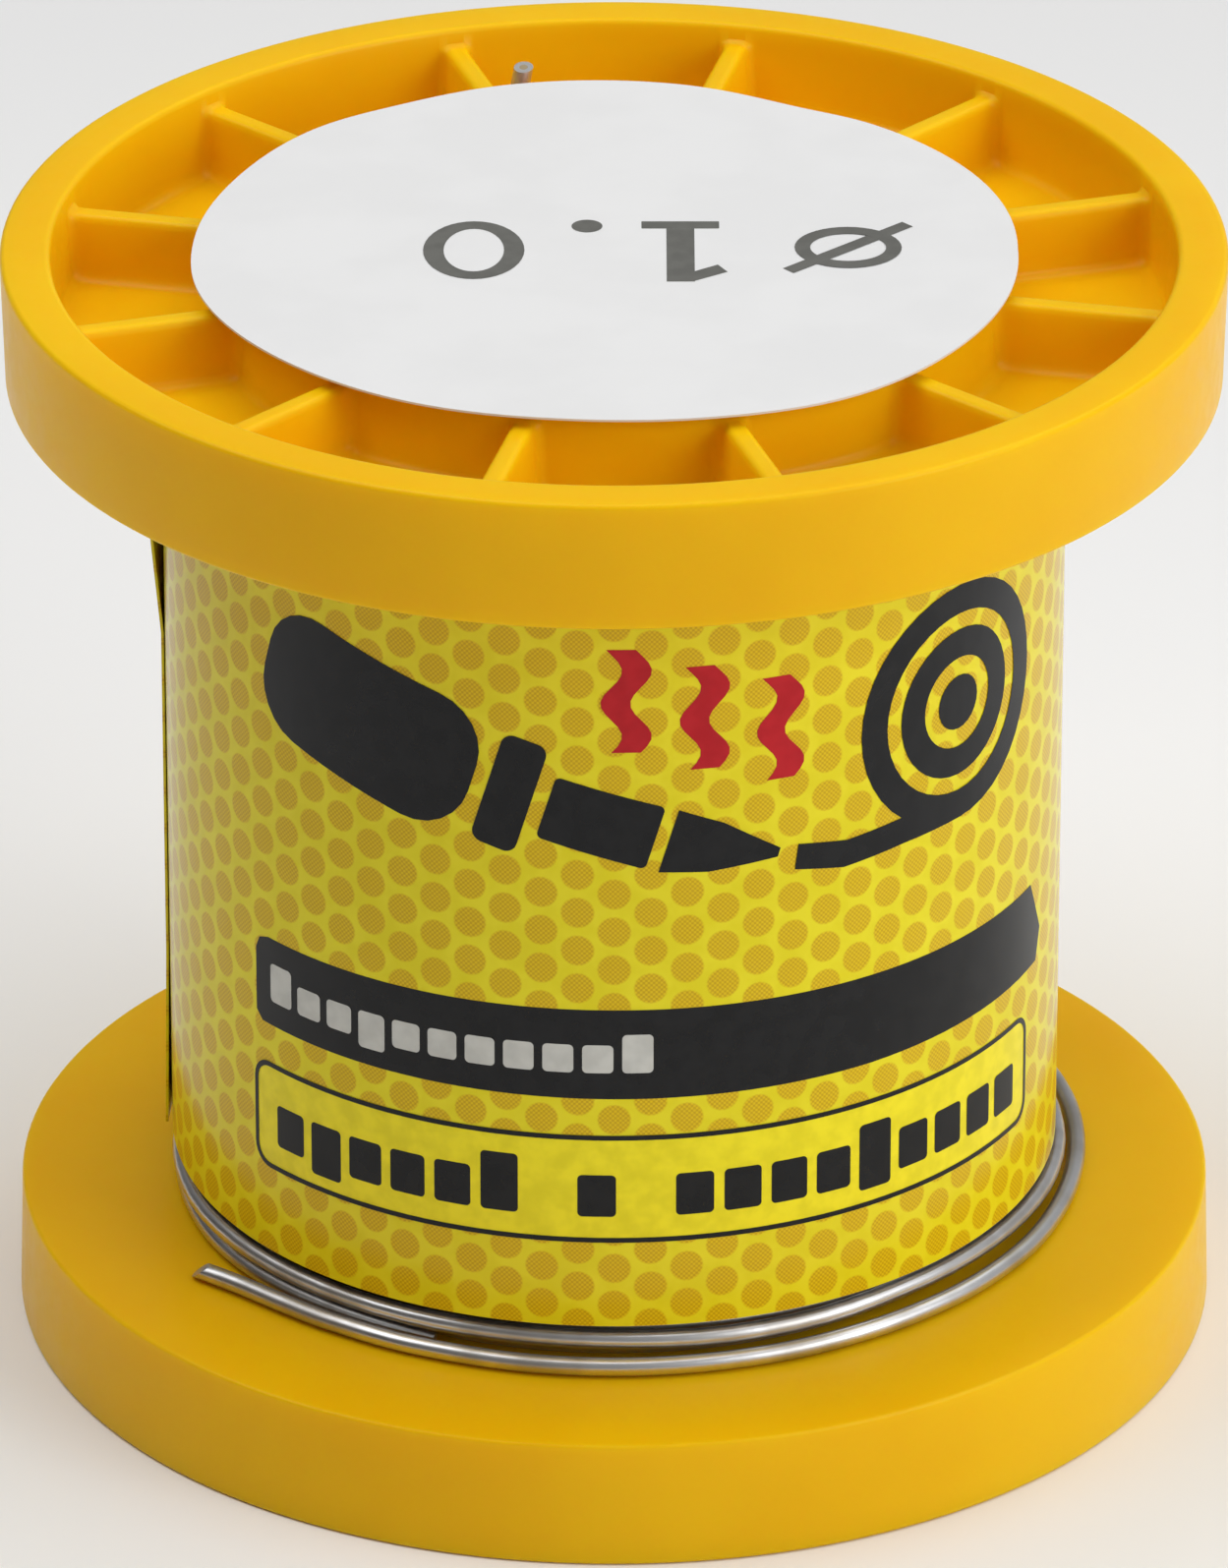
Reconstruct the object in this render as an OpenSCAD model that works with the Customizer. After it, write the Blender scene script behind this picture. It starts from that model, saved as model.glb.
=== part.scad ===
// Solder wire spool: a two-part moulded plastic spool wound with rosin-cored
// solder wire, wrapped in a printed label and marked with a round sticker.
// Millimetres, +Z up along the spool's axis, origin at the middle of the
// plane that the lower rim stands on.

/* [Spool] */
// Diameter of both flanges at their outer faces
flange_d = 63; // [60:0.5:75]
// Height of the whole spool
spool_h = 60; // [45:1:90]
// Height of each flange at its edge
flange_h = 6.9; // [6:0.1:9]
// Width of each rim's flat face
rim_w = 2.6; // [1.5:0.1:3.5]
// Diameter of the barrel that carries the wire
barrel_d = 40; // [30:1:44]
// Diameter of the bore for a spindle
bore_d = 11; // [8:0.5:14]
// Number of ribs around each flange
rib_n = 12; // [6:1:16]
// Thickness of a rib
rib_t = 1.3; // [0.8:0.1:2]

/* [Solder wire] */
// Diameter of the wire
wire_d = 1; // [0.5:0.1:1]
// Outside diameter of the wound wire
winding_d = 46.4; // [45:0.1:46.4]

/* [Label and sticker] */
// Thickness of the label film with its glue
label_t = 0.15; // [0.1:0.05:0.2]
// Bare winding left below and above the label
label_gap = 2.6; // [1:0.1:4]
// Angle that the label's end overlaps its start
label_overlap = 14; // [5:1:30]
// Diameter of the size sticker
sticker_d = 42.5; // [38:0.5:46]

/* [Hidden] */
$fn = 96;

plastic = [0.93, 0.72, 0.08];
tin = [0.75, 0.76, 0.78];
rosin = [0.72, 0.5, 0.2];
film = [0.9, 0.85, 0.12];
paper = [0.91, 0.91, 0.91];

flange_r = flange_d / 2;
barrel_r = barrel_d / 2;
bore_r = bore_d / 2;
winding_r = winding_d / 2;
wire_r = wire_d / 2;

// The rim is drafted outside and inside, so that it leaves its mould
rim_draft = 0.17;
rim_inner_r = flange_r - rim_w;
rim_floor_r = rim_inner_r - 0.45;
edge_r = 0.35;
back_edge_r = 0.2;

// Heights above the flange's outer face, measured inwards
web_z = 4.6;
rib_recess = 1;
hub_recess = 0.42;
tube_wall = 2;
bore_tube_r = bore_r + tube_wall;
barrel_inner_r = barrel_r - tube_wall;
hub_rib_n = 6;
weld = 0.4;

// Both halves sit a little turned about the axis from the label's front
spool_turn = 2;
rib_turn = 180 / rib_n + spool_turn;
hub_rib_turn = 180 / hub_rib_n + spool_turn;

// The upper half's spigot ring plugs into the lower half's socket
joint_z = spool_h / 2;
spigot_l = 4;
spigot_r = barrel_r - tube_wall / 2;

// The wire starts through a slanting hole in the upper flange's web. It leans
// towards the angle start_way, and its end is nipped off at a slant
start_angle = 101.5;
start_r = 24;
start_top_z = spool_h - 0.4;
start_lean = 15;
start_way = 45;
start_slant = 10;
start_l = (start_top_z - spool_h + flange_h) / cos(start_lean);
start_hole_r = wire_r + 0.1;
core_r = 0.22;
past = 3;

label_r = winding_r + label_t;
label_z = flange_h + label_gap;
label_h = spool_h - 2 * label_z;
seam_angle = 168;

// The sticker lies on the upper hub, a little off centre
sticker_t = 0.12;
sticker_shift = -0.45;

// Next to the lower flange the outermost layer is unwound, and the free end
// lies in its place. The step clears the free end by a little.
step_clearance = 0.15;
step_z = flange_h + wire_d + step_clearance;
step_r = winding_r - wire_d;

// Route of the free end, from the cut end to where it leaves the winding:
// angle about the axis, distance from the axis
loose_clearance = 0.04;
loose_z = flange_h + wire_r + loose_clearance;
loose_route = [
    [-148, 25.4], [-142, 24.6], [-135, 24.2], [-127, 24], [-115, 23.9],
    [-100, 23.9], [-85, 23.9], [-70, 23.9], [-56, 23.9], [-43, 24],
    [-32, 24.1], [-22, 24.2], [-10, 24.3], [2, 24.5], [14, 24.75],
    [26, 24.9], [39, 24.9], [52, 24.7], [65, 24.4], [78, 24.1],
    [91, 23.8], [104, 23.5], [117, 23.2], [130, 23], [143, 22.85],
    [156, 22.8], [169, 22.8], [182, 22.8]];
tube_sides = 8;
rings_per_step = 2;

function polar(a, r, z) = [r * cos(a), r * sin(a), z];
function unit(v) = v / norm(v);

// Catmull-Rom curve through the points p, at step i + u
function at(p, i) = p[max(0, min(len(p) - 1, i))];
function curve(p, i, u) =
    let (a = at(p, i - 1), b = at(p, i), c = at(p, i + 1), d = at(p, i + 2))
    0.5 * (2 * b + (c - a) * u + (2 * a - 5 * b + 4 * c - d) * pow(u, 2)
           + (3 * b - a - 3 * c + d) * pow(u, 3));
function curve_points(p, n) = [
    for (i = [0 : len(p) - 2], k = [0 : n - 1]) curve(p, i, k / n),
    p[len(p) - 1]];

// One closed tube swept along level points: each ring stands across the path
function along(c, i) = unit(at(c, i + 1) - at(c, i - 1));
function ring(c, i, r, n) =
    let (t = along(c, i), side = unit(cross(t, [0, 0, 1])), up = cross(side, t))
    [for (k = [0 : n - 1]) c[i] + r * (cos(360 * (k + 0.5) / n) * side
                                       + sin(360 * (k + 0.5) / n) * up)];
module tube(c, r, n) {
    rings = len(c);
    points = [for (i = [0 : rings - 1]) each ring(c, i, r, n)];
    walls = [for (i = [0 : rings - 2], k = [0 : n - 1])
        [i * n + k, i * n + (k + 1) % n, (i + 1) * n + (k + 1) % n, (i + 1) * n + k]];
    start_cap = [for (k = [0 : n - 1]) n - 1 - k];
    end_cap = [for (k = [0 : n - 1]) (rings - 1) * n + k];
    polyhedron(points, concat(walls, [start_cap, end_cap]), convexity = 4);
}

module washer(outer, inner, z0, z1) {
    translate([0, 0, z0])
        rotate_extrude()
            translate([inner, 0]) square([outer - inner, z1 - z0]);
}

// Rim with rounded outer edges, from the outer face at z = 0 inwards
module rim() {
    steps = 4;
    back_r = flange_r - rim_draft;
    face_edge = [for (k = [0 : steps])
        [flange_r - edge_r + edge_r * sin(90 * k / steps),
         edge_r - edge_r * cos(90 * k / steps)]];
    back_edge = [for (k = [0 : steps])
        [back_r - back_edge_r + back_edge_r * cos(90 * k / steps),
         flange_h - back_edge_r + back_edge_r * sin(90 * k / steps)]];
    rotate_extrude()
        polygon(concat([[rim_inner_r, 0]], face_edge, back_edge,
                       [[rim_floor_r, flange_h], [rim_floor_r, web_z]]));
}

module ribs(n, from_r, to_r, turn) {
    for (k = [0 : n - 1])
        rotate(turn + 360 * k / n)
            translate([from_r, -rib_t / 2, rib_recess])
                cube([to_r - from_r, rib_t, web_z + weld - rib_recess]);
}

// One half as it is moulded, outer face down, without its joint
module half_blank(top) {
    rim();
    washer(rim_floor_r + weld, bore_r, web_z, flange_h);
    washer(barrel_r, barrel_inner_r, hub_recess, top);
    washer(bore_tube_r, bore_r, hub_recess, joint_z);
    ribs(rib_n, barrel_r - weld, rim_floor_r + weld, rib_turn);
    ribs(hub_rib_n, bore_tube_r - weld, barrel_inner_r + weld, hub_rib_turn);
}

module start_top() {
    translate(polar(start_angle, start_r, start_top_z)) children();
}

module start_axis() {
    start_top() rotate([0, start_lean, start_way]) children();
}

module upper_spool_half() {
    color(plastic)
        difference() {
            translate([0, 0, spool_h])
                mirror([0, 0, 1])
                    union() {
                        half_blank(joint_z);
                        washer(spigot_r, barrel_inner_r, joint_z - weld, joint_z + spigot_l);
                    }
            start_axis()
                translate([0, 0, -start_l - wire_d])
                    cylinder(r = start_hole_r, h = start_l + wire_d);
        }
}

module lower_spool_half() {
    color(plastic)
        difference() {
            half_blank(joint_z);
            washer(spigot_r, barrel_inner_r - weld, joint_z - spigot_l, joint_z + weld);
        }
}

module solder_winding() {
    color(tin)
        rotate_extrude()
            polygon([[barrel_r, flange_h], [step_r, flange_h], [step_r, step_z],
                     [winding_r, step_z], [winding_r, spool_h - flange_h],
                     [barrel_r, spool_h - flange_h]]);
}

// Straight stub, cut level with the winding's upper face at its lower end
module start_stub(outer, inner) {
    difference() {
        start_axis()
            translate([0, 0, -start_l - past])
                difference() {
                    cylinder(r = outer, h = start_l + 2 * past);
                    if (inner > 0)
                        translate([0, 0, -past]) cylinder(r = inner, h = start_l + 4 * past);
                }
        translate([-barrel_r, 0, spool_h - flange_h - 4 * past])
            cube([2 * barrel_r, 2 * barrel_r, 4 * past]);
        start_top()
            rotate([start_slant, 0, 0])
                translate([-past, -past, 0]) cube(2 * past);
    }
}

module wire_start_end() {
    color(tin) start_stub(wire_r, core_r);
}

module start_flux_core() {
    color(rosin) start_stub(core_r, 0);
}

module loose_wire() {
    route = [for (p = loose_route) polar(p[0], p[1], loose_z)];
    color(tin) tube(curve_points(route, rings_per_step), wire_r, tube_sides);
}

module wrap_label() {
    color(film) {
        washer(label_r, winding_r, label_z, label_z + label_h);
        translate([0, 0, label_z])
            rotate(seam_angle)
                rotate_extrude(angle = label_overlap)
                    translate([winding_r + label_t / 2, 0]) square([1.5 * label_t, label_h]);
    }
}

module diameter_sticker() {
    color(paper)
        translate([sticker_shift, 0, spool_h - hub_recess])
            cylinder(r = sticker_d / 2, h = sticker_t);
}

upper_spool_half();
lower_spool_half();
solder_winding();
wire_start_end();
start_flux_core();
loose_wire();
wrap_label();
diameter_sticker();
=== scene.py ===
"""Looks of the solder wire spool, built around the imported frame. Metres, +Z up."""
import math

import bmesh
import bpy
import numpy as np
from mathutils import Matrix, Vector


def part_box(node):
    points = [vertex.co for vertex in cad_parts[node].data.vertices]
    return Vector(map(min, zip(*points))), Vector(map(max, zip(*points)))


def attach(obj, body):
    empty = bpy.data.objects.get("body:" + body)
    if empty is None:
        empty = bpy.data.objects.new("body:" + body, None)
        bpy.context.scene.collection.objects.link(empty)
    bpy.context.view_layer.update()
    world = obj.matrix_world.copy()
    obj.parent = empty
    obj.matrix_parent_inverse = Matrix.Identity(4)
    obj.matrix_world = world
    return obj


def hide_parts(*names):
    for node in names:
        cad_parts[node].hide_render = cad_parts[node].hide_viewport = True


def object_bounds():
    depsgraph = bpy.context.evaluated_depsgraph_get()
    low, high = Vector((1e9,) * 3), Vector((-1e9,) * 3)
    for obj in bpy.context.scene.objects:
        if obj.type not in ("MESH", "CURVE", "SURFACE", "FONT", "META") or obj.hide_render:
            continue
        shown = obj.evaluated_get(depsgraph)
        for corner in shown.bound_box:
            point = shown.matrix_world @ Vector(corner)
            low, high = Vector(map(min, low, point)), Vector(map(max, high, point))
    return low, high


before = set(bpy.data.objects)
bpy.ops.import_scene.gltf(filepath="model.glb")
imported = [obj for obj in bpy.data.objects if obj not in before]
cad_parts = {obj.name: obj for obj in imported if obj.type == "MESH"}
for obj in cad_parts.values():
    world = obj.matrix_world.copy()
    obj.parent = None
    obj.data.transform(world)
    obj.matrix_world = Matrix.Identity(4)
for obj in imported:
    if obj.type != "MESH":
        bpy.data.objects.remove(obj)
cad_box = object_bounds()

MM = 0.001

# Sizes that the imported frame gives, in millimetres
LOW, HIGH = cad_box
SPOOL_H = (HIGH[2] - LOW[2]) / MM
FLANGE_R = (HIGH[0] - LOW[0]) / 2 / MM
WINDING_LOW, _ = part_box("solder_winding")
FLANGE_H = WINDING_LOW[2] / MM
LABEL_LOW, LABEL_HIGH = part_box("wrap_label")
LABEL_Z0 = LABEL_LOW[2] / MM
LABEL_Z1 = LABEL_HIGH[2] / MM
STICKER_LOW, STICKER_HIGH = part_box("diameter_sticker")

# Sizes that part.scad gives, in millimetres
WIRE_R = 0.5
BARREL_R = 20.0
BORE_R = 5.5


def polar(angle, r, z):
    """A point in millimetres from its angle in degrees, distance from the axis and height."""
    a = math.radians(angle)
    return (r * math.cos(a), r * math.sin(a), z)


def clamped(x):
    """The value held between 0 and 1."""
    return min(max(x, 0.0), 1.0)


def eased(x):
    """Smooth step from 0 to 1."""
    x = clamped(x)
    return x * x * (3 - 2 * x)


def in_metres(point):
    return tuple(c * MM for c in point)


# ---------------------------------------------------------------- mesh helpers

def link(name, mesh):
    piece = bpy.data.objects.new(name, mesh)
    bpy.context.scene.collection.objects.link(piece)
    return piece


def shade_smooth(mesh):
    mesh.polygons.foreach_set("use_smooth", [True] * len(mesh.polygons))


def mesh_piece(name, points_mm, faces):
    """A smooth mesh object from points in millimetres."""
    mesh = bpy.data.meshes.new(name)
    mesh.from_pydata([in_metres(p) for p in points_mm], [], faces)
    mesh.validate()
    mesh.update()
    shade_smooth(mesh)
    return link(name, mesh)


def grid_faces(rows, columns, loop_rows=False, loop_columns=False, start=0):
    """Quads of a grid of points, stored row by row."""
    faces = []
    for i in range(rows if loop_rows else rows - 1):
        for j in range(columns if loop_columns else columns - 1):
            a = start + i * columns + j
            b = start + i * columns + (j + 1) % columns
            c = start + (i + 1) % rows * columns + (j + 1) % columns
            d = start + (i + 1) % rows * columns + j
            faces.append((a, b, c, d))
    return faces


def shade_by_angle(piece, degrees):
    """Sharp shading only where faces meet at more than this angle."""
    piece.data.set_sharp_from_angle(angle=math.radians(degrees))


def tube_frames(path):
    """Centre, side and up vectors along a path, with up as near +Z as the path lets it."""
    path = np.asarray(path, float)
    ahead = np.gradient(path, axis=0)
    ahead /= np.linalg.norm(ahead, axis=1)[:, None]
    side = np.cross(ahead, (0.0, 0.0, 1.0))
    side /= np.linalg.norm(side, axis=1)[:, None]
    up = np.cross(side, ahead)
    return path, ahead, side, up


# How far a leaning ring goes ahead at its top and at its side
LEAN_TOP = 0.85
LEAN_SIDE = 0.3


def tube_mesh(name, path, radius, sides, shape=None):
    """A closed tube along a path. shape(i) gives its width, height and lean at each ring."""
    path, ahead, side, up = tube_frames(path)
    count = len(path)
    turn = (np.arange(sides) * 2 * np.pi / sides)[:, None]
    points = []
    for i in range(count):
        across, tall, lean = (1.0, 1.0, 0.0) if shape is None else shape(i)
        ring = (path[i] + radius * across * np.cos(turn) * side[i]
                + radius * tall * np.sin(turn) * up[i]
                + lean * (np.sin(turn) * LEAN_TOP + np.cos(turn) * LEAN_SIDE) * ahead[i])
        points.extend(ring.tolist())
    faces = grid_faces(count, sides, loop_columns=True)
    faces.append(tuple(range(sides))[::-1])
    faces.append(tuple((count - 1) * sides + k for k in range(sides)))
    return mesh_piece(name, points, faces)


def catmull(points, per_step):
    """Catmull-Rom curve through points, the same curve as in part.scad."""
    points = np.asarray(points, float)
    last = len(points) - 1
    out = []
    for i in range(last):
        a = points[max(i - 1, 0)]
        b = points[i]
        c = points[i + 1]
        d = points[min(i + 2, last)]
        for k in range(per_step):
            u = k / per_step
            out.append(0.5 * (2 * b + (c - a) * u + (2 * a - 5 * b + 4 * c - d) * u ** 2
                              + (3 * b - a - 3 * c + d) * u ** 3))
    out.append(points[last])
    return np.array(out)


# -------------------------------------------------------------- material helpers

class Nodes:
    """A short way to write a node material."""

    def __init__(self, name):
        self.material = bpy.data.materials.new(name)
        self.material.use_nodes = True
        self.tree = self.material.node_tree
        self.shader = self.tree.nodes["Principled BSDF"]
        self.coordinate = self.tree.nodes.new("ShaderNodeTexCoord").outputs["Object"]

    def put(self, target, value):
        if isinstance(value, bpy.types.NodeSocket):
            self.tree.links.new(value, target)
        else:
            target.default_value = value

    def set(self, **values):
        """Shader inputs by name, with underscores for blanks."""
        for name, value in values.items():
            self.put(self.shader.inputs[name.replace("_", " ")], value)

    def math(self, operation, *values):
        node = self.tree.nodes.new("ShaderNodeMath")
        node.operation = operation
        for socket, value in zip(node.inputs, values):
            self.put(socket, value)
        return node.outputs[0]

    def split(self, vector):
        node = self.tree.nodes.new("ShaderNodeSeparateXYZ")
        self.put(node.inputs[0], vector)
        return node.outputs

    def scaled(self, vector, scale):
        node = self.tree.nodes.new("ShaderNodeMapping")
        self.put(node.inputs["Vector"], vector)
        node.inputs["Scale"].default_value = scale
        return node.outputs[0]

    def noise(self, scale, detail=2.0, rough=0.5, vector=None):
        node = self.tree.nodes.new("ShaderNodeTexNoise")
        self.put(node.inputs["Vector"], self.coordinate if vector is None else vector)
        node.inputs["Scale"].default_value = scale
        node.inputs["Detail"].default_value = detail
        node.inputs["Roughness"].default_value = rough
        return node.outputs["Fac"]

    def ramp(self, value, low, high, from_value=0.0, to_value=1.0):
        """Smooth step of a value from low to high."""
        node = self.tree.nodes.new("ShaderNodeMapRange")
        node.interpolation_type = "SMOOTHSTEP"
        self.put(node.inputs["Value"], value)
        self.put(node.inputs["From Min"], low)
        self.put(node.inputs["From Max"], high)
        self.put(node.inputs["To Min"], from_value)
        self.put(node.inputs["To Max"], to_value)
        return node.outputs[0]

    def mix(self, share, a, b):
        node = self.tree.nodes.new("ShaderNodeMix")
        node.data_type = "RGBA"
        self.put(node.inputs[0], share)
        self.put(node.inputs[6], a)
        self.put(node.inputs[7], b)
        return node.outputs[2]

    def bump(self, height, distance, strength=1.0, under=None):
        node = self.tree.nodes.new("ShaderNodeBump")
        self.put(node.inputs["Height"], height)
        node.inputs["Distance"].default_value = distance
        node.inputs["Strength"].default_value = strength
        if under is not None:
            self.put(node.inputs["Normal"], under)
        return node.outputs[0]


def linear(r, g, b):
    """Scene-linear colour with alpha, from the 0 to 255 values that a screen shows."""
    def channel(c):
        c = c / 255
        return c / 12.92 if c <= 0.04045 else ((c + 0.055) / 1.055) ** 2.4
    return (channel(r), channel(g), channel(b), 1.0)


# ---------------------------------------------------------------- camera and cord

def make_camera():
    """A long lens a short way above the rim, looking down at 26.5 degrees."""
    distance = 724.0
    tilt = math.radians(26.48)
    aim = (-0.01, 0.0, 29.02)
    focal = 14088.2
    frame_height = 1595.0
    camera_data = bpy.data.cameras.new("camera")
    camera = bpy.data.objects.new("camera", camera_data)
    bpy.context.scene.collection.objects.link(camera)
    camera_data.sensor_width = 36.0
    camera_data.lens = focal * camera_data.sensor_width / frame_height
    camera_data.clip_start = 0.01
    camera_data.clip_end = 20.0
    camera.location = in_metres((aim[0], aim[1] - distance * math.cos(tilt),
                                 aim[2] + distance * math.sin(tilt)))
    camera.rotation_euler = (math.pi / 2 - tilt, 0.0, 0.0)
    bpy.context.scene.camera = camera


make_camera()
bpy.context.scene.view_settings.view_transform = "Standard"


def wire_material(name, bright, dull, rough):
    """Drawn tin alloy: bright, with faint marks and an oxide bloom."""
    n = Nodes(name)
    bloom = n.noise(180.0, 3.0, 0.6)
    marks = n.noise(1400.0, 2.0, 0.5)
    colour = n.mix(n.ramp(bloom, 0.40, 0.66), bright, dull)
    n.set(Metallic=1.0, Base_Color=colour,
          Roughness=n.ramp(bloom, 0.3, 0.75, rough, rough + 0.12),
          Normal=n.bump(marks, 0.00001, 0.35))
    return n.material


TIN = wire_material("solder_alloy", linear(212, 212, 213), linear(184, 181, 177), 0.30)
NIPPED_TIN = wire_material("nipped_alloy", linear(208, 208, 208), linear(184, 182, 178), 0.42)

# The free end lies just clear of the flange and is drawn a little thin, so that it touches nothing
LOOSE_CLEARANCE = 0.04
LOOSE_Z = FLANGE_H + WIRE_R + LOOSE_CLEARANCE
LOOSE_R = WIRE_R * 0.985
LOOSE_SIDES = 20

# The free end's route, as in part.scad: angle about the axis and distance from it
LOOSE_ROUTE = [
    (-148, 25.4), (-142, 24.6), (-135, 24.2), (-127, 24), (-115, 23.9),
    (-100, 23.9), (-85, 23.9), (-70, 23.9), (-56, 23.9), (-43, 24),
    (-32, 24.1), (-22, 24.2), (-10, 24.3), (2, 24.5), (14, 24.75),
    (26, 24.9), (39, 24.9), (52, 24.7), (65, 24.4), (78, 24.1),
    (91, 23.8), (104, 23.5), (117, 23.2), (130, 23), (143, 22.85),
    (156, 22.8), (169, 22.8), (182, 22.8)]


def make_loose_wire():
    """The free end: a round wire nipped to a chisel at its cut."""
    route = [polar(a, r, LOOSE_Z) for a, r in LOOSE_ROUTE]
    path = catmull(route, 14)
    nipped_rings = 12
    flattening = 0.08
    lean = 0.64

    def shape(i):
        share = max(1 - i / nipped_rings, 0.0)
        return (1 + flattening * share ** 2, 1 - flattening * share ** 2, lean * share)

    wire = tube_mesh("free_end", path, LOOSE_R, LOOSE_SIDES, shape)
    shade_by_angle(wire, 50)
    wire.data.materials.append(TIN)
    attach(wire, "free_wire")
    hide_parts("loose_wire")


# The same wire goes on past the free end's root, tucked under the outermost turn
TUCKED_ROUTE = [
    (182, 22.8), (190, 22.82), (198, 22.9), (206, 23.0), (214, 23.0),
    (222, 22.9), (230, 22.78), (238, 22.7), (246, 22.7)]


def make_tucked_wire():
    """The stretch that comes loose next. Its end thins out in the dark gap at the front."""
    path = catmull([polar(a, r, LOOSE_Z) for a, r in TUCKED_ROUTE], 8)
    fade_rings = 24
    thinning = 0.6
    last = len(path) - 1

    def shape(i):
        share = max((i - last + fade_rings) / fade_rings, 0.0)
        width = 1 - thinning * share ** 2
        return (width, width, 0.0)

    wire = tube_mesh("tucked_strand", path, LOOSE_R, LOOSE_SIDES, shape)
    shade_by_angle(wire, 50)
    wire.data.materials.append(TIN)
    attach(wire, "free_wire")


make_loose_wire()
make_tucked_wire()


# ------------------------------------------------------------------- stage

def make_stage():
    """A wide level floor, pale and dull."""
    points = [(x, y, 0.0) for x in (-3000.0, 3000.0) for y in (-2500.0, 2500.0)]
    floor = mesh_piece("floor", points, [(0, 2, 3, 1)])
    n = Nodes("pale_floor")
    n.set(Base_Color=n.mix(n.noise(3.0), linear(243, 243, 243), linear(246, 246, 246)),
          Roughness=0.8, Specular_IOR_Level=0.2)
    floor.data.materials.append(n.material)


def area_light(name, place, aim, size, power):
    data = bpy.data.lights.new(name, "AREA")
    data.shape = "RECTANGLE"
    data.size = size[0]
    data.size_y = size[1]
    data.energy = power
    light = bpy.data.objects.new(name, data)
    bpy.context.scene.collection.objects.link(light)
    light.location = place
    toward = Vector(aim) - Vector(place)
    light.rotation_euler = toward.to_track_quat("-Z", "Y").to_euler()


def make_lights():
    """Soft lights from the right, overhead and the left, in a room that is dim at the left."""
    world = bpy.data.worlds.new("studio")
    bpy.context.scene.world = world
    world.use_nodes = True
    tree = world.node_tree
    background = tree.nodes["Background"]
    direction = tree.nodes.new("ShaderNodeTexCoord").outputs["Generated"]
    parts = tree.nodes.new("ShaderNodeSeparateXYZ")
    tree.links.new(direction, parts.inputs[0])
    span = tree.nodes.new("ShaderNodeMapRange")
    tree.links.new(parts.outputs["X"], span.inputs["Value"])
    span.inputs["From Min"].default_value = -0.9
    span.inputs["From Max"].default_value = 0.6
    shade = tree.nodes.new("ShaderNodeMix")
    shade.data_type = "RGBA"
    tree.links.new(span.outputs[0], shade.inputs[0])
    shade.inputs[6].default_value = (0.05, 0.045, 0.04, 1.0)
    shade.inputs[7].default_value = (0.42, 0.42, 0.42, 1.0)
    tree.links.new(shade.outputs[2], background.inputs["Color"])
    background.inputs["Strength"].default_value = 1.0
    centre = (0.0, 0.0, 0.03)
    area_light("key_right", (0.36, -0.30, 0.24), centre, (0.26, 0.30), 0.72)
    area_light("overhead", (0.10, 0.05, 0.50), centre, (0.45, 0.60), 1.12)
    area_light("left_high", (-0.20, 0.0, 0.40), centre, (0.32, 0.32), 0.66)
    area_light("floor_bounce", (0.26, -0.12, 0.16), (0.11, -0.05, 0.0), (0.16, 0.20), 0.15)


make_stage()
make_lights()


# ------------------------------------------------------------------- spool halves

# Radii, and heights measured from a half's outer face, in millimetres
RIM_R = FLANGE_R - 2.6
FLOOR = -4.6
RIB_TOP = -1.0
HUB_TOP = -0.42
RIB_HALF = 0.6
BARREL_IN = 18.0
SPIGOT_R = 19.0
SPIGOT_L = 4.0
BORE_TUBE = 7.5
DRAFT = 0.075
CORNER = 0.8
FOOT = 0.7
RIB_EDGE = 0.35
WALL_EDGE = 0.3

RIB_COUNT = 12
FIRST_RIB = math.radians(15)
HUB_RIB_COUNT = 6
FIRST_HUB_RIB = math.radians(30)

# Both halves sit a little turned about the axis from the label's front
SPOOL_TURN = math.radians(2)


def profile(d, top, floor, edge, foot, slope):
    """Height of a drafted wall at distance d outside its top edge, with a round edge and foot."""
    drop = np.maximum(top - floor - edge - foot, 0.0)
    wall_end = drop * slope
    bend = np.sqrt(np.clip(edge ** 2 - (d + edge) ** 2, 0.0, None))
    hollow = np.sqrt(np.clip(foot ** 2 - (wall_end + foot - d) ** 2, 0.0, None))
    height = np.where(d <= 0, top - edge + bend, top - edge - d / slope)
    height = np.where(d <= -edge, top, height)
    height = np.where(d > wall_end, floor + foot - hollow, height)
    return np.where(d > wall_end + foot, floor, height)


def smooth_min(a, b, size):
    """The lesser of two values, rounded off where they are within size of each other."""
    near = np.clip(size - np.abs(a - b), 0.0, None) / size
    return np.minimum(a, b) - near ** 2 * size / 4


def nearest_rib(angle, count, first):
    """Distance sideways from the nearest rib's middle line, as an angle in radians."""
    step = 2 * np.pi / count
    return (angle - first + step / 2) % step - step / 2


def pocket_field(r, angle, count, first, inner_r, outer_r, inner_top, outer_top):
    """Height of one ring of ribbed pockets between two round walls."""
    away = np.abs(r * np.sin(nearest_rib(angle, count, first)))
    to_rib = away - RIB_HALF
    to_walls = smooth_min(outer_r - r, r - inner_r, CORNER)
    inside = smooth_min(to_rib, to_walls, CORNER)
    # a rib's top climbs a little where it meets a wall
    climb = np.minimum(outer_r - r, r - inner_r)
    rib_top = RIB_TOP + 0.25 * np.clip(1 - climb / 0.5, 0.0, 1.0) ** 2
    ribs = profile(inside, rib_top, FLOOR, RIB_EDGE, FOOT, DRAFT)
    outer = profile(outer_r - r, outer_top, FLOOR, WALL_EDGE, FOOT, DRAFT)
    inner = profile(r - inner_r, inner_top, FLOOR, WALL_EDGE, FOOT, DRAFT)
    return np.maximum(np.maximum(ribs, outer), inner)


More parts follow.
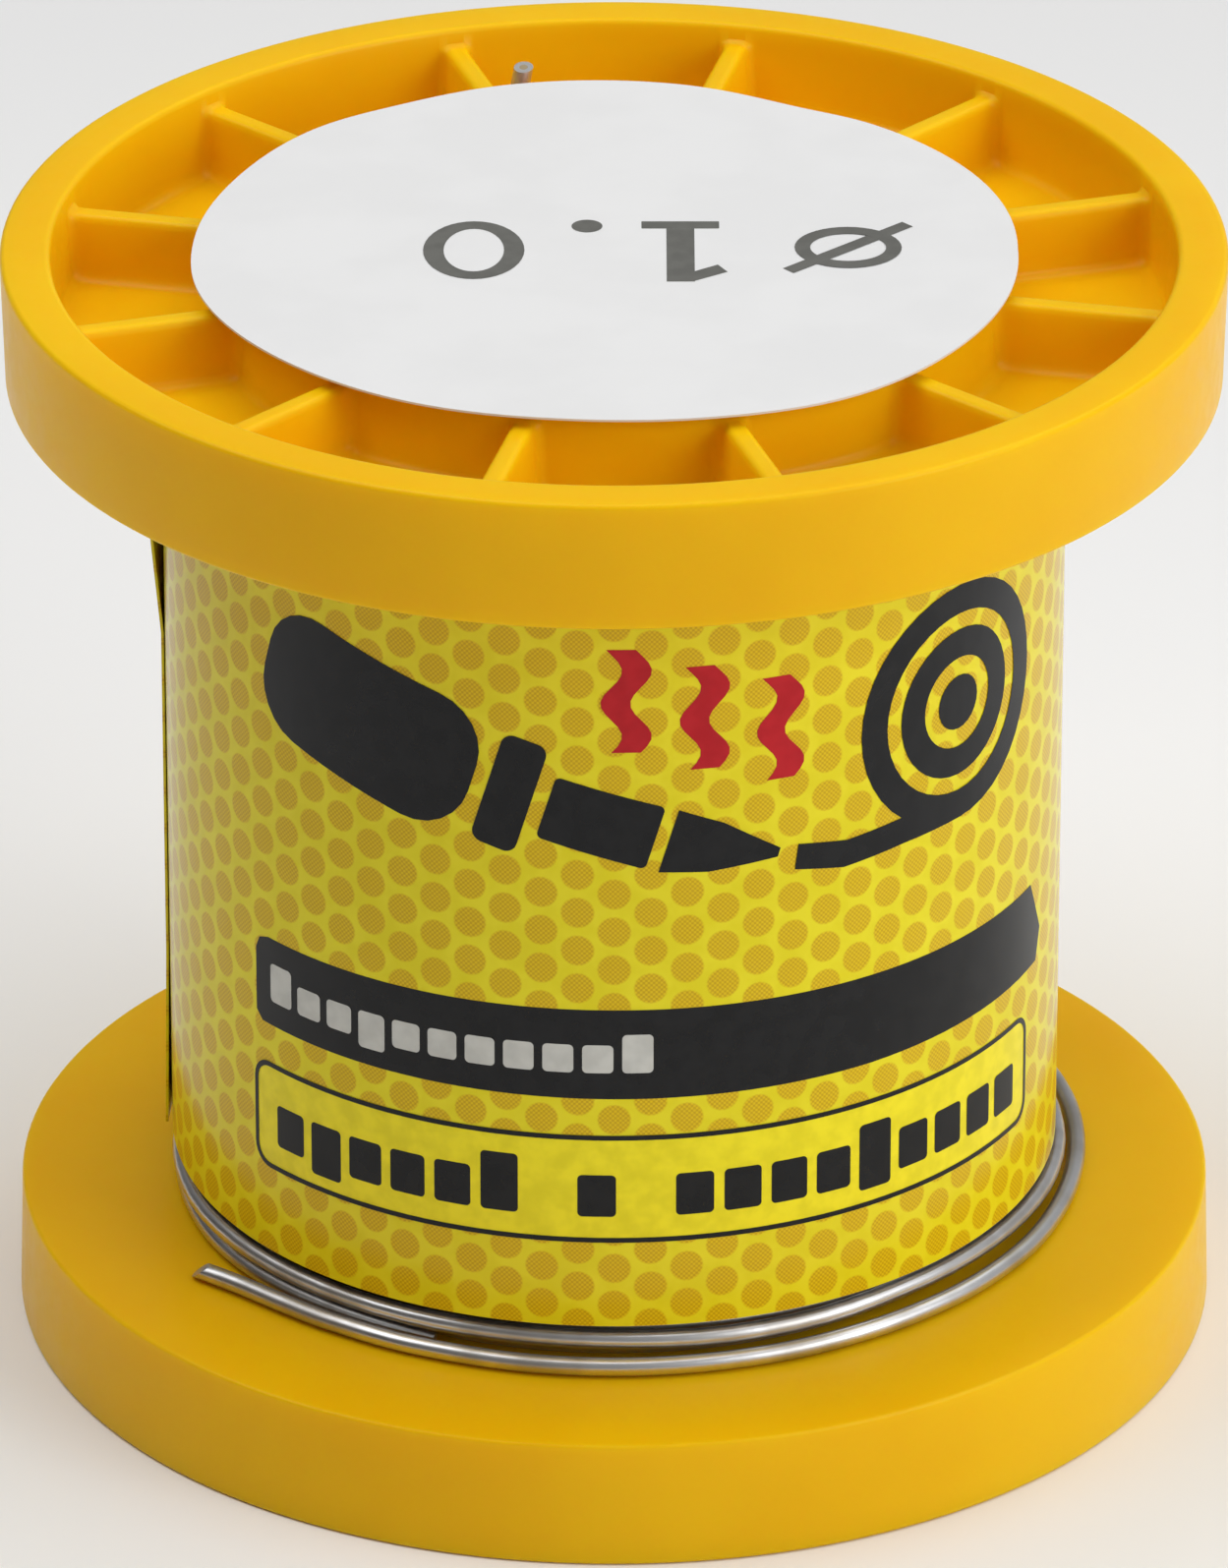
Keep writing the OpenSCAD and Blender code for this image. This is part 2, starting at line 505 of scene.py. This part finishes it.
# Distances from a wall's edge and from a rib's middle line at which the mesh has rows and columns
EDGE_STEPS = [-0.4, -0.3, -0.2, -0.12, -0.05, 0.0, 0.05, 0.1, 0.15, 0.2, 0.26, 0.33, 0.41,
              0.5, 0.6, 0.72, 0.86, 1.05, 1.35]
RIB_STEPS = [0.0, 0.2, 0.32, 0.42, 0.5, 0.56, 0.61, 0.66, 0.71, 0.76, 0.82, 0.89, 0.97,
             1.07, 1.19, 1.34, 1.54, 1.85]
MIDDLE_STEPS = 12
COLUMNS = RIB_COUNT * (2 * len(RIB_STEPS) + MIDDLE_STEPS - 2)
HUB_MIDDLE_STEPS = COLUMNS // HUB_RIB_COUNT - 2 * len(RIB_STEPS) + 2

# The columns pass from the hub's spacing to the rim's inside the barrel's wall
EVENING_WIDTH = 0.7


def column_angles(r, count, first, middle_steps):
    """Angles round the circle, close together at each rib's sides at any radius."""
    step = 2 * math.pi / count
    near = [math.asin(min(s / r, 0.95)) for s in RIB_STEPS]
    span = step - 2 * near[-1]
    middle = [near[-1] + span * k / middle_steps for k in range(1, middle_steps)]
    far = [step - a for a in reversed(near)]
    sector = (near + middle + far)[:-1]
    return np.array([first + k * step + a for k in range(count) for a in sector])


def spread(angles, share):
    """Moves column angles towards even spacing from the rim's first rib."""
    even = FIRST_RIB + np.arange(COLUMNS) * 2 * np.pi / COLUMNS
    return angles * (1 - share) + even * share


def rim_columns(r):
    """Column angles at a radius outside the barrel's wall."""
    angles = column_angles(r, RIB_COUNT, FIRST_RIB, MIDDLE_STEPS)
    return spread(angles, clamped((BARREL_R - r) / EVENING_WIDTH))


def hub_columns(r):
    """Column angles at a radius inside the barrel's wall, where the pockets are fewer and wide."""
    angles = column_angles(r, HUB_RIB_COUNT, FIRST_HUB_RIB, HUB_MIDDLE_STEPS)
    # the rim's first rib lies half a step before the hub's, so the columns start from there
    back = round((FIRST_HUB_RIB - FIRST_RIB) / (2 * math.pi / COLUMNS))
    angles = np.roll(angles, back)
    angles[:back] -= 2 * np.pi
    return spread(angles, clamped((r - BARREL_IN) / EVENING_WIDTH))


def outer_rows():
    """Radii of the rows from the barrel's wall to the rim."""
    rows = [BARREL_R - 0.7] + [BARREL_R + s for s in EDGE_STEPS]
    rows += list(np.linspace(BARREL_R + 1.75, RIM_R - 1.75, 13))
    rows += [RIM_R - s for s in reversed(EDGE_STEPS)]
    rows += [RIM_R + 0.8, RIM_R + 1.5]
    return rows


def inner_rows():
    """Radii of the rows from the bore's tube to the barrel's wall."""
    rows = [BORE_TUBE - 1.3, BORE_TUBE - 0.8] + [BORE_TUBE + s for s in EDGE_STEPS]
    rows += list(np.linspace(BORE_TUBE + 1.8, BARREL_IN - 1.8, 10))
    rows += [BARREL_IN - s for s in reversed(EDGE_STEPS)]
    rows += [BARREL_IN + 0.7]
    return rows


def arc_rows(centre_r, centre_h, radius, start, end, steps):
    """Profile points round an edge, angles in degrees."""
    out = []
    for k in range(steps + 1):
        a = math.radians(start + (end - start) * k / steps)
        out.append((centre_r + radius * math.cos(a), centre_h + radius * math.sin(a)))
    return out


def bore_profile(joint):
    """Radius and height of the bore's wall, from the middle of the spool to the outer face."""
    edge = 0.3
    rows = [(BORE_R, -joint), (BORE_R, -20.0), (BORE_R, -8.0)]
    return rows + arc_rows(BORE_R + edge, HUB_TOP - edge, edge, 180, 90, 4)


def outside_profile(joint, upper):
    """Radius and height of the rim's outside, the flange's back, the barrel and its inside."""
    edge = 0.28
    back_edge = 0.2
    back_r = FLANGE_R - 0.17
    rows = arc_rows(FLANGE_R - edge, -edge, edge, 90, 0, 6)
    rows += [(FLANGE_R - 0.06, -2.5), (FLANGE_R - 0.12, -4.6)]
    rows += arc_rows(back_r - back_edge, -FLANGE_H + back_edge, back_edge, 0, -90, 4)
    rows += [(28.5, -FLANGE_H), (25.0, -FLANGE_H), (BARREL_R + 0.3, -FLANGE_H),
             (BARREL_R, -FLANGE_H - 0.3), (BARREL_R, -18.0), (BARREL_R, -joint)]
    # the upper half ends in a spigot, the lower one in the socket for it
    end = (-SPIGOT_L if upper else SPIGOT_L) - joint
    rows += [(SPIGOT_R, -joint), (SPIGOT_R, end), (BARREL_IN, end), (BARREL_IN, -FLANGE_H)]
    return rows + [(BORE_TUBE, -FLANGE_H), (BORE_TUBE, -joint)]


def make_half(name, node, upper):
    """One moulded half as one closed skin: face with pockets, rim, back, barrel and bore."""
    joint = SPOOL_H / 2
    points = []

    def add_ring(angles, r, heights):
        heights = np.broadcast_to(heights, angles.shape)
        z = SPOOL_H + heights if upper else -heights
        turned_angles = angles + SPOOL_TURN
        points.append(np.stack([r * np.cos(turned_angles), r * np.sin(turned_angles), z], axis=1))

    for r, h in bore_profile(joint):
        add_ring(hub_columns(r), r, h)
    for r in inner_rows():
        angles = hub_columns(r)
        h = pocket_field(np.full_like(angles, r), angles, HUB_RIB_COUNT, FIRST_HUB_RIB,
                         BORE_TUBE, BARREL_IN, HUB_TOP, HUB_TOP)
        add_ring(angles, r, h)
    for r in outer_rows():
        angles = rim_columns(r)
        h = pocket_field(np.full_like(angles, r), angles, RIB_COUNT, FIRST_RIB,
                         BARREL_R, RIM_R, HUB_TOP, 0.0)
        add_ring(angles, r, h)
    angles = rim_columns(RIM_R)
    for r, h in outside_profile(joint, upper):
        add_ring(angles, r, h)
    faces = grid_faces(len(points), COLUMNS, loop_rows=True, loop_columns=True)
    if upper:
        faces = [f[::-1] for f in faces]
    piece = mesh_piece(name, np.concatenate(points).tolist(), faces)
    shade_by_angle(piece, 40)
    piece.data.materials.append(PLASTIC)
    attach(piece, "spool")
    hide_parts(node)


def plastic_material():
    """Glossy yellow-orange moulded plastic that lets a little light through."""
    n = Nodes("spool_plastic")
    cloud = n.noise(55.0, 3.0, 0.6)
    grain = n.noise(900.0, 3.0, 0.6)
    flow = n.noise(120.0, 2.0, 0.5, n.scaled(n.coordinate, (1.0, 1.0, 0.25)))
    colour = n.mix(n.ramp(cloud, 0.3, 0.7), linear(236, 180, 6), linear(240, 188, 9))
    n.set(Base_Color=colour, Roughness=n.ramp(grain, 0.3, 0.7, 0.30, 0.38),
          Subsurface_Weight=0.4, Subsurface_Scale=0.003, Specular_IOR_Level=0.12,
          Normal=n.bump(grain, 0.00001, 0.35, n.bump(flow, 0.00006, 0.25)))
    n.shader.inputs["Subsurface Radius"].default_value = (1.0, 0.55, 0.06)
    return n.material


PLASTIC = plastic_material()
make_half("spool_upper", "upper_spool_half", True)
make_half("spool_lower", "lower_spool_half", False)


# ------------------------------------------------------------------- winding

# Distance from the axis of the lowest turn, which lies loose at the front and right
LOW_TURN = [
    (-215, 22.7), (-200, 22.7), (-182, 22.8), (-170, 23.0), (-158, 23.12),
    (-145, 23.05), (-128, 22.88), (-105, 22.75), (-91, 22.8), (-77, 23.05),
    (-64, 23.0), (-50, 22.75), (-36, 22.9), (-25, 23.1), (-14, 23.3),
    (-3, 23.4), (12, 23.3), (28, 22.9), (45, 22.7)]
TURN_R = 22.7
LOW_TURN_ANGLE = 45.0
LOW_TURN_Z = 8.45
LOW_TURN_GAP = 0.3
PITCH = 1.0
TURNS = 43.8
STEPS = 84

# Each turn is level for most of its way, then crosses over to the next one
LEVEL_SHARE = 0.72
CROSSING_SHARE = 0.28

# How far the turns lie in and out, and how fast that comes and goes
WAVER = 0.035
WAVER_RATE = 9.7

# Turns that are seen through the gap under the outermost layer, and the core behind all turns
SECOND_R = 21.7
SECOND_ANGLE = 30.0
SECOND_PITCH = 0.98
CORE_R = 22.0
CORE_STEP_R = 21.5
CORE_STEP_Z = 8.1
CORE_TOP = 52.9
CORE_GAP = 0.02


def winding_path():
    """Side-by-side turns from the lower flange to just under the upper one."""
    angles = [a for a, _ in LOW_TURN]
    radii = [r for _, r in LOW_TURN]
    path = []
    for k in range(int(TURNS * STEPS) + 1):
        turn = k / STEPS
        angle = LOW_TURN_ANGLE - 360.0 * turn
        whole = math.floor(turn)
        crossing = eased((turn - whole - LEVEL_SHARE) / CROSSING_SHARE)
        z = LOW_TURN_Z + PITCH * (whole + crossing) + LOW_TURN_GAP * min(turn, 1.0) ** 8
        r = float(np.interp(angle, angles, radii)) if turn < LEVEL_SHARE else TURN_R
        r += WAVER * math.sin(turn * WAVER_RATE) * min(turn, 1.0)
        path.append(polar(angle, r, z))
    return path


def make_winding():
    """The wound wire: its outer turns, two turns of the layer beneath and a plain core."""
    outer = tube_mesh("solder_turns", winding_path(), WIRE_R, 14)
    low = FLANGE_H + WIRE_R + 0.01
    beneath = [polar(SECOND_ANGLE - 360.0 * k / STEPS, SECOND_R, low + SECOND_PITCH * k / STEPS)
               for k in range(2 * STEPS)]
    second = tube_mesh("inner_turns", beneath, WIRE_R, 14)
    last_turn_z = LOW_TURN_Z + PITCH * TURNS + LOW_TURN_GAP
    rows = [(BARREL_R + CORE_GAP, FLANGE_H + CORE_GAP), (CORE_STEP_R, FLANGE_H + CORE_GAP),
            (CORE_STEP_R, CORE_STEP_Z), (CORE_R, CORE_STEP_Z), (CORE_R, last_turn_z),
            (BARREL_R + CORE_GAP, CORE_TOP)]
    points = [polar(a * 3, r, z) for r, z in rows for a in range(120)]
    core = mesh_piece("wound_core", points,
                      grid_faces(len(rows), 120, loop_rows=True, loop_columns=True))
    shade_by_angle(core, 30)
    joined = join_pieces(outer, [second, core])
    joined.data.materials.append(TIN)
    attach(joined, "spool")
    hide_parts("solder_winding")


def join_pieces(first, others):
    """Puts the meshes of other pieces into the first one."""
    work = bmesh.new()
    work.from_mesh(first.data)
    for piece in others:
        work.from_mesh(piece.data)
        mesh = piece.data
        bpy.data.objects.remove(piece)
        bpy.data.meshes.remove(mesh)
    work.to_mesh(first.data)
    work.free()
    return first


# ------------------------------------------------------------------- label

# The film's outside radius and thickness in millimetres, and angles in degrees
LABEL_R = 23.35
FILM = 0.14
SEAM = 168.0
OVERLAP = 14.0
FRONT = 270.0

# How far the label's outer end lifts: over its start, along its edge and at its corners
LAP_LIFT = 0.16
EDGE_LIFT = 0.04
TOP_CORNER_LIFT = 1.1
LOW_CORNER_LIFT = 0.16


def sheet_lift(angle, z):
    """How far the outer end of the label stands off the layer beneath."""
    past = (angle - SEAM - 360.0) / OVERLAP
    if past <= -1.0:
        return 0.0
    tall = (z - LABEL_Z0) / (LABEL_Z1 - LABEL_Z0)
    curl = max(past - 0.05, 0.0) / 0.95
    corner = (TOP_CORNER_LIFT * max((tall - 0.70) / 0.30, 0.0)
              + LOW_CORNER_LIFT * max((0.25 - tall) / 0.25, 0.0))
    return LAP_LIFT * eased(1.0 + past) + (EDGE_LIFT + corner) * curl ** 2


def make_label():
    """A film wrapped once round the wire, its outer end lapped over the start at the left."""
    columns = 300
    rows = 40
    points = []
    for side in (0.0, -FILM):
        for i in range(rows + 1):
            z = LABEL_Z0 + 0.01 + (LABEL_Z1 - LABEL_Z0 - 0.02) * i / rows
            for j in range(columns + 1):
                angle = SEAM + (360.0 + OVERLAP) * j / columns
                r = LABEL_R - 0.005 + sheet_lift(angle, z) + side
                points.append(polar(angle, r, z))
    across = columns + 1
    layer = (rows + 1) * across
    faces = grid_faces(rows + 1, across)
    faces += [f[::-1] for f in grid_faces(rows + 1, across, start=layer)]
    for j in range(columns):
        faces.append((j, layer + j, layer + j + 1, j + 1))
        top = rows * across + j
        faces.append((top, top + 1, layer + top + 1, layer + top))
    for i in range(rows):
        a = i * across
        faces.append((a, a + across, layer + a + across, layer + a))
        b = a + columns
        faces.append((b, layer + b, layer + b + across, b + across))
    label = mesh_piece("label_film", points, faces)
    shade_by_angle(label, 50)
    flat = label.data.uv_layers.new(name="sheet")
    for loop in label.data.loops:
        index = loop.vertex_index % layer
        angle = SEAM + (360.0 + OVERLAP) * (index % across) / columns
        flat.data[loop.index].uv = (math.radians(angle - FRONT) * LABEL_R,
                                    label.data.vertices[loop.vertex_index].co.z / MM)
    label.data.materials.append(label_material())
    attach(label, "spool")
    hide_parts("wrap_label")


# The honeycomb of dots: distance between columns, distance along a column, radius
DOT_COLUMN = 1.865
DOT_PITCH = 2.15
DOT_R = 0.86
SCREEN_RATE = 24.0


def film_waves(n):
    """Normal of the film's faint waves, which ink follows."""
    return n.bump(n.noise(95.0, 2.0, 0.5), 0.00012, 0.35)


def label_material():
    """Yellow film printed with a honeycomb of round dots, each made of a fine screen."""
    n = Nodes("label_print")
    flat = n.tree.nodes.new("ShaderNodeUVMap")
    flat.uv_map = "sheet"
    u, z, _ = n.split(flat.outputs[0])

    def wrap(value, half):
        return n.math("WRAP", value, half, -half)

    def lattice(shift):
        du = wrap(n.math("ADD", u, shift * DOT_COLUMN), DOT_COLUMN)
        dz = wrap(n.math("ADD", z, shift * DOT_PITCH / 2), DOT_PITCH / 2)
        total = n.math("ADD", n.math("MULTIPLY", du, du), n.math("MULTIPLY", dz, dz))
        return n.math("SQRT", total)

    away = n.math("MINIMUM", lattice(0), lattice(1))
    dot = n.ramp(away, DOT_R + 0.06, DOT_R - 0.10)
    rising = n.math("SINE", n.math("MULTIPLY", n.math("ADD", u, z), SCREEN_RATE))
    falling = n.math("SINE", n.math("MULTIPLY", n.math("SUBTRACT", u, z), SCREEN_RATE))
    screen = n.ramp(n.math("ADD", rising, falling), -0.6, 0.8)
    blot = n.noise(420.0, 3.0, 0.6)
    ground = n.mix(n.ramp(blot, 0.35, 0.65), linear(228, 213, 24), linear(234, 220, 34))
    ink = n.mix(screen, linear(196, 150, 8), linear(224, 188, 20))
    colour = n.mix(n.math("MULTIPLY", dot, 0.82), ground, ink)
    n.set(Base_Color=colour, Roughness=0.2, Specular_IOR_Level=0.2, Normal=film_waves(n))
    return n.material


def print_material(name, colour, rough=0.2):
    """Ink under the gloss of the film."""
    n = Nodes(name)
    blot = n.noise(900.0, 2.0, 0.5)
    lighter = tuple(min(c * 1.15 + 0.003, 1.0) for c in colour[:3]) + (1.0,)
    n.set(Base_Color=n.mix(n.ramp(blot, 0.3, 0.7), colour, lighter), Roughness=rough,
          Specular_IOR_Level=0.22, Normal=film_waves(n))
    return n.material


# -------------------------------------------------------------- printed shapes

def rounded_box(u0, z0, u1, z1, radius, steps=6):
    """Outline of a box with round corners, counter-clockwise."""
    radius = min(radius, (u1 - u0) / 2, (z1 - z0) / 2)
    out = []
    for cu, cz, start in ((u1 - radius, z0 + radius, -90), (u1 - radius, z1 - radius, 0),
                          (u0 + radius, z1 - radius, 90), (u0 + radius, z0 + radius, 180)):
        for k in range(steps + 1):
            a = math.radians(start + 90 * k / steps)
            out.append((cu + radius * math.cos(a), cz + radius * math.sin(a)))
    return out


def disc(cu, cz, ru, rz=None, steps=40):
    """Outline of a circle, or of an ellipse where rz is given."""
    rz = ru if rz is None else rz
    angles = [2 * math.pi * k / steps for k in range(steps)]
    return [(cu + ru * math.cos(a), cz + rz * math.sin(a)) for a in angles]


def bar(a, b, half):
    """A straight stroke from a to b with square ends."""
    (ax, ay), (bx, by) = a, b
    length = math.hypot(bx - ax, by - ay)
    nx = -(by - ay) / length * half
    ny = (bx - ax) / length * half
    return [(ax - nx, ay - ny), (bx - nx, by - ny), (bx + nx, by + ny), (ax + nx, ay + ny)]


def turned(outline, pivot, degrees):
    """An outline turned about a pivot."""
    c = math.cos(math.radians(degrees))
    s = math.sin(math.radians(degrees))
    return [(pivot[0] + (x - pivot[0]) * c - (y - pivot[1]) * s,
             pivot[1] + (x - pivot[0]) * s + (y - pivot[1]) * c) for x, y in outline]


# Distance between one printed shape and the next above it
LAYER = 0.0008


def flat_mesh(shapes, rings):
    """A flat mesh of filled outlines and of bands between pairs of outlines.

    Each is a little above the one before, so that none lies in the plane of another."""
    work = bmesh.new()
    level = 0.0
    for outline in shapes:
        corners = [work.verts.new((x, y, level)) for x, y in outline]
        work.faces.new(corners)
        level += LAYER
    for outside, inside in rings:
        out = [work.verts.new((x, y, level)) for x, y in outside]
        inn = [work.verts.new((x, y, level)) for x, y in inside]
        level += LAYER
        count = len(out)
        for k in range(count):
            after = (k + 1) % count
            work.faces.new((out[k], out[after], inn[after], inn[k]))
    return work


def wrapped_print(name, shapes, rings, height, material):
    """Ink shapes laid round the label, cut into narrow strips so that they follow it."""
    work = flat_mesh(shapes, rings)
    low_u = min(v.co.x for v in work.verts)
    high_u = max(v.co.x for v in work.verts)
    for k in range(math.ceil(low_u), math.floor(high_u) + 1):
        everything = work.verts[:] + work.edges[:] + work.faces[:]
        bmesh.ops.bisect_plane(work, geom=everything, plane_co=(k, 0, 0), plane_no=(1, 0, 0))
    for v in work.verts:
        angle = FRONT + math.degrees(v.co.x / LABEL_R)
        v.co = Vector(polar(angle, LABEL_R + height + v.co.z, v.co.y)) * MM
    finish_print(name, work, material)


def flat_print(name, shapes, rings, z, material):
    """Ink shapes on the sticker, which is read from behind."""
    work = flat_mesh(shapes, rings)
    for v in work.verts:
        v.co = Vector((v.co.x, v.co.y, z + v.co.z)) * MM
    finish_print(name, work, material)


def finish_print(name, work, material):
    """The piece that a printed flat mesh becomes."""
    mesh = bpy.data.meshes.new(name)
    work.to_mesh(mesh)
    work.free()
    piece = link(name, mesh)
    shade_smooth(mesh)
    piece.data.materials.append(material)
    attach(piece, "spool")


# The black band's height, and the outlined box as left, bottom, right, top
BAND_Z = (22.8, 27.8)
BOX = (-21.4, 14.4, 27.0, 20.6)


def block_row(u0, u1, z0, z1, heights, gap):
    """A row of plain blocks in the place of a line of words.

    heights gives each block's drop below the line and its share of the row's height. A share
    of 0 leaves a space."""
    width = (u1 - u0 + gap) / len(heights)
    out = []
    for k, (below, above) in enumerate(heights):
        if above == 0:
            continue
        left = u0 + k * width
        out.append(rounded_box(left, z0 - below, left + width - gap, z0 + (z1 - z0) * above, 0.25))
    return out


def make_label_print():
    """Plain stand-ins for the label's print: a soldering iron, a coil, a band and a box."""
    ink = print_material("label_ink", linear(16, 16, 17))
    grey = print_material("label_grey_ink", linear(192, 192, 186))
    red = print_material("label_red_ink", linear(176, 14, 26))
    low, top = BAND_Z
    band = [(-20.7, low), (0.0, low - 0.1), (14.0, low - 0.1), (28.3, low + 0.1),
            (28.9, 24.6), (27.4, top - 0.1), (0.0, top), (-20.2, top)]
    band += [(-20.9, top - 0.25), (-21.2, top - 0.9), (-21.2, low + 0.5)]
    box = rounded_box(*BOX, 1.2)
    border = 0.28
    inner = rounded_box(BOX[0] + border, BOX[1] + border, BOX[2] - border, BOX[3] - border, 0.95)
    word = [(0, 0.8), (0.6, 0.8), (0, 0.8), (0, 0.8), (0, 0.8), (0, 1.12), (0, 0), (0, 0.8),
            (0, 0), (0, 0.8), (0, 0.8), (0, 0.8), (0, 0.8), (0.5, 1.1), (0, 0.8), (0, 0.8),
            (0, 0.8), (0, 0.8)]
    short = [(0, 1.1), (0, 0.8), (0, 0.8), (0.5, 0.8), (0, 0.8), (0, 0.8), (0, 0.8), (0, 0.8),
             (0, 0.8), (0, 0.8), (0, 1.1)]
    plain = print_material("label_plain", linear(231, 216, 24))
    wrapped_print("label_box", [box], [], 0.008, plain)
    iron, iron_rings = pictogram()
    shapes = [band] + block_row(-19.6, 25.4, 15.9, 18.9, word, 0.55) + iron
    wrapped_print("label_black", shapes, [(box, inner)] + iron_rings, 0.012, ink)
    wrapped_print("label_light", block_row(-20.0, 2.0, 24.2, 26.2, short, 0.45), [], 0.026, grey)
    wrapped_print("label_red", heat_marks(), [], 0.014, red)


def pictogram():
    """A soldering iron whose tip meets the end of a coil of wire."""
    lean = -17.0
    pivot = (-14.0, 41.0)
    parts = [rounded_box(-20.6, 38.6, -7.4, 46.2, 3.0), rounded_box(-6.6, 39.2, -4.2, 45.6, 0.6),
             rounded_box(-3.4, 40.6, 2.4, 44.2, 0.3),
             [(3.1, 40.6), (5.6, 41.2), (9.0, 42.6), (9.0, 43.1), (5.6, 44.0), (3.1, 44.2)]]
    shapes = [turned(p, pivot, lean) for p in parts]
    coil = (19.8, 41.4)
    rings = [(disc(*coil, 6.6), disc(*coil, 5.0)), (disc(*coil, 4.1), disc(*coil, 2.5))]
    shapes.append(disc(*coil, 1.5, steps=24))
    shapes.append([(20.2, 34.8), (20.2, 36.4), (16.0, 36.2), (12.4, 35.9), (9.6, 36.3),
                   (9.4, 34.9), (12.2, 34.4), (16.0, 34.7)])
    return shapes, rings


def heat_marks():
    """Three wavy strokes of heat over the tip."""
    half_width = 0.75
    out = []
    for k, u in enumerate((0.6, 4.6, 8.6)):
        left = []
        right = []
        for i in range(17):
            z = 42.4 + 0.36 * i - 1.1 * k
            wave = 0.55 * math.sin(i * 0.62)
            left.append((u + wave - half_width, z))
            right.append((u + wave + half_width, z))
        out.append(left + right[::-1])
    return out


make_winding()
make_label()
make_label_print()

# ------------------------------------------------------------------- sticker

# The sticker's hand-cut edge: angle, distance from its middle
STICKER_EDGE = [(0, 21.15), (24, 21.3), (48, 21.1), (62, 20.7), (80, 21.4), (102, 21.6),
                (120, 21.3), (135, 21.5), (156, 21.1), (176, 21.15), (195, 21.4), (220, 21.2),
                (242, 21.05), (264, 20.75), (284, 21.1), (305, 21.75), (330, 21.45), (360, 21.15)]
STICKER_X = -0.45
STICKER_HOLLOW = 0.03


def make_sticker():
    """A paper disc stuck across the hub, faintly dished between the walls beneath."""
    top = STICKER_HIGH[2] / MM
    thick = (STICKER_HIGH[2] - STICKER_LOW[2]) / MM
    rings = 30
    around = 240
    outline = catmull(STICKER_EDGE, 12)
    edge = np.interp(np.arange(around) * 360 / around, outline[:, 0], outline[:, 1])
    points = []
    for level, depth in ((0.0, STICKER_HOLLOW), (-thick * 0.98, 0.0)):
        for i in range(rings):
            for j in range(around):
                r = edge[j] * i / (rings - 1)
                a = 2 * math.pi * j / around
                across = clamped((r - BORE_TUBE) / (BARREL_IN - BORE_TUBE))
                z = top - 0.001 + level - depth * math.sin(math.pi * across) ** 2
                points.append((STICKER_X + r * math.cos(a), r * math.sin(a), z))
    faces = grid_faces(rings, around, loop_columns=True)
    layer = rings * around
    faces += [f[::-1] for f in grid_faces(rings, around, loop_columns=True, start=layer)]
    last = (rings - 1) * around
    for j in range(around):
        after = (j + 1) % around
        faces.append((last + j, layer + last + j, layer + last + after, last + after))
    sticker = mesh_piece("sticker", points, faces)
    # each side's inmost ring lies all at the middle, so its points become one
    work = bmesh.new()
    work.from_mesh(sticker.data)
    bmesh.ops.remove_doubles(work, verts=work.verts, dist=0.00001)
    bmesh.ops.recalc_face_normals(work, faces=work.faces)
    work.to_mesh(sticker.data)
    work.free()
    shade_by_angle(sticker, 40)
    n = Nodes("sticker_paper")
    fibres = n.noise(1500.0, 4.0, 0.6)
    cloud = n.noise(160.0, 3.0, 0.5)
    colour = n.mix(n.ramp(cloud, 0.35, 0.65), linear(223, 223, 223), linear(226, 226, 226))
    n.set(Base_Color=colour, Roughness=0.6, Specular_IOR_Level=0.3,
          Normal=n.bump(fibres, 0.00001, 0.4))
    sticker.data.materials.append(n.material)
    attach(sticker, "spool")
    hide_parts("diameter_sticker")


def make_size_mark():
    """The wire's size, read from behind: a diameter sign, then 1, a point and 0."""
    ink = print_material("sticker_ink", linear(96, 96, 92), 0.6)
    middle = (12.0, 0.15)
    rings = [(disc(*middle, 2.75, 2.55), disc(*middle, 1.95, 1.7)),
             (disc(-7.2, -0.2, 2.6, 3.6), disc(-7.2, -0.2, 1.55, 2.65))]
    shapes = [bar((8.9, -2.75), (15.1, 3.05), 0.4)]
    shapes += [bar((3.4, -4.1), (3.4, 2.5), 0.72), rounded_box(1.4, 2.5, 5.4, 3.4, 0.05),
               [(4.0, -4.1), (5.8, -2.9), (5.3, -2.0), (4.0, -2.9)]]
    shapes.append(disc(-1.4, 2.8, 0.8, steps=24))
    z = STICKER_HIGH[2] / MM + 0.006
    flat_print("size_mark", shapes, rings, z, ink)


make_sticker()
make_size_mark()

# ------------------------------------------------------------------- start of the wire

def make_start():
    """Materials of the wire's starting end and of the rosin in its core."""
    n = Nodes("rosin")
    cloud = n.noise(1800.0, 2.0, 0.5)
    n.set(Base_Color=n.mix(cloud, linear(146, 130, 100), linear(170, 154, 122)), Roughness=0.35)
    for name, material in (("wire_start_end", NIPPED_TIN), ("start_flux_core", n.material)):
        mesh = bpy.data.objects[name].data
        mesh.materials.clear()
        mesh.materials.append(material)
        shade_smooth(mesh)
        mesh.set_sharp_from_angle(angle=math.radians(35))


make_start()
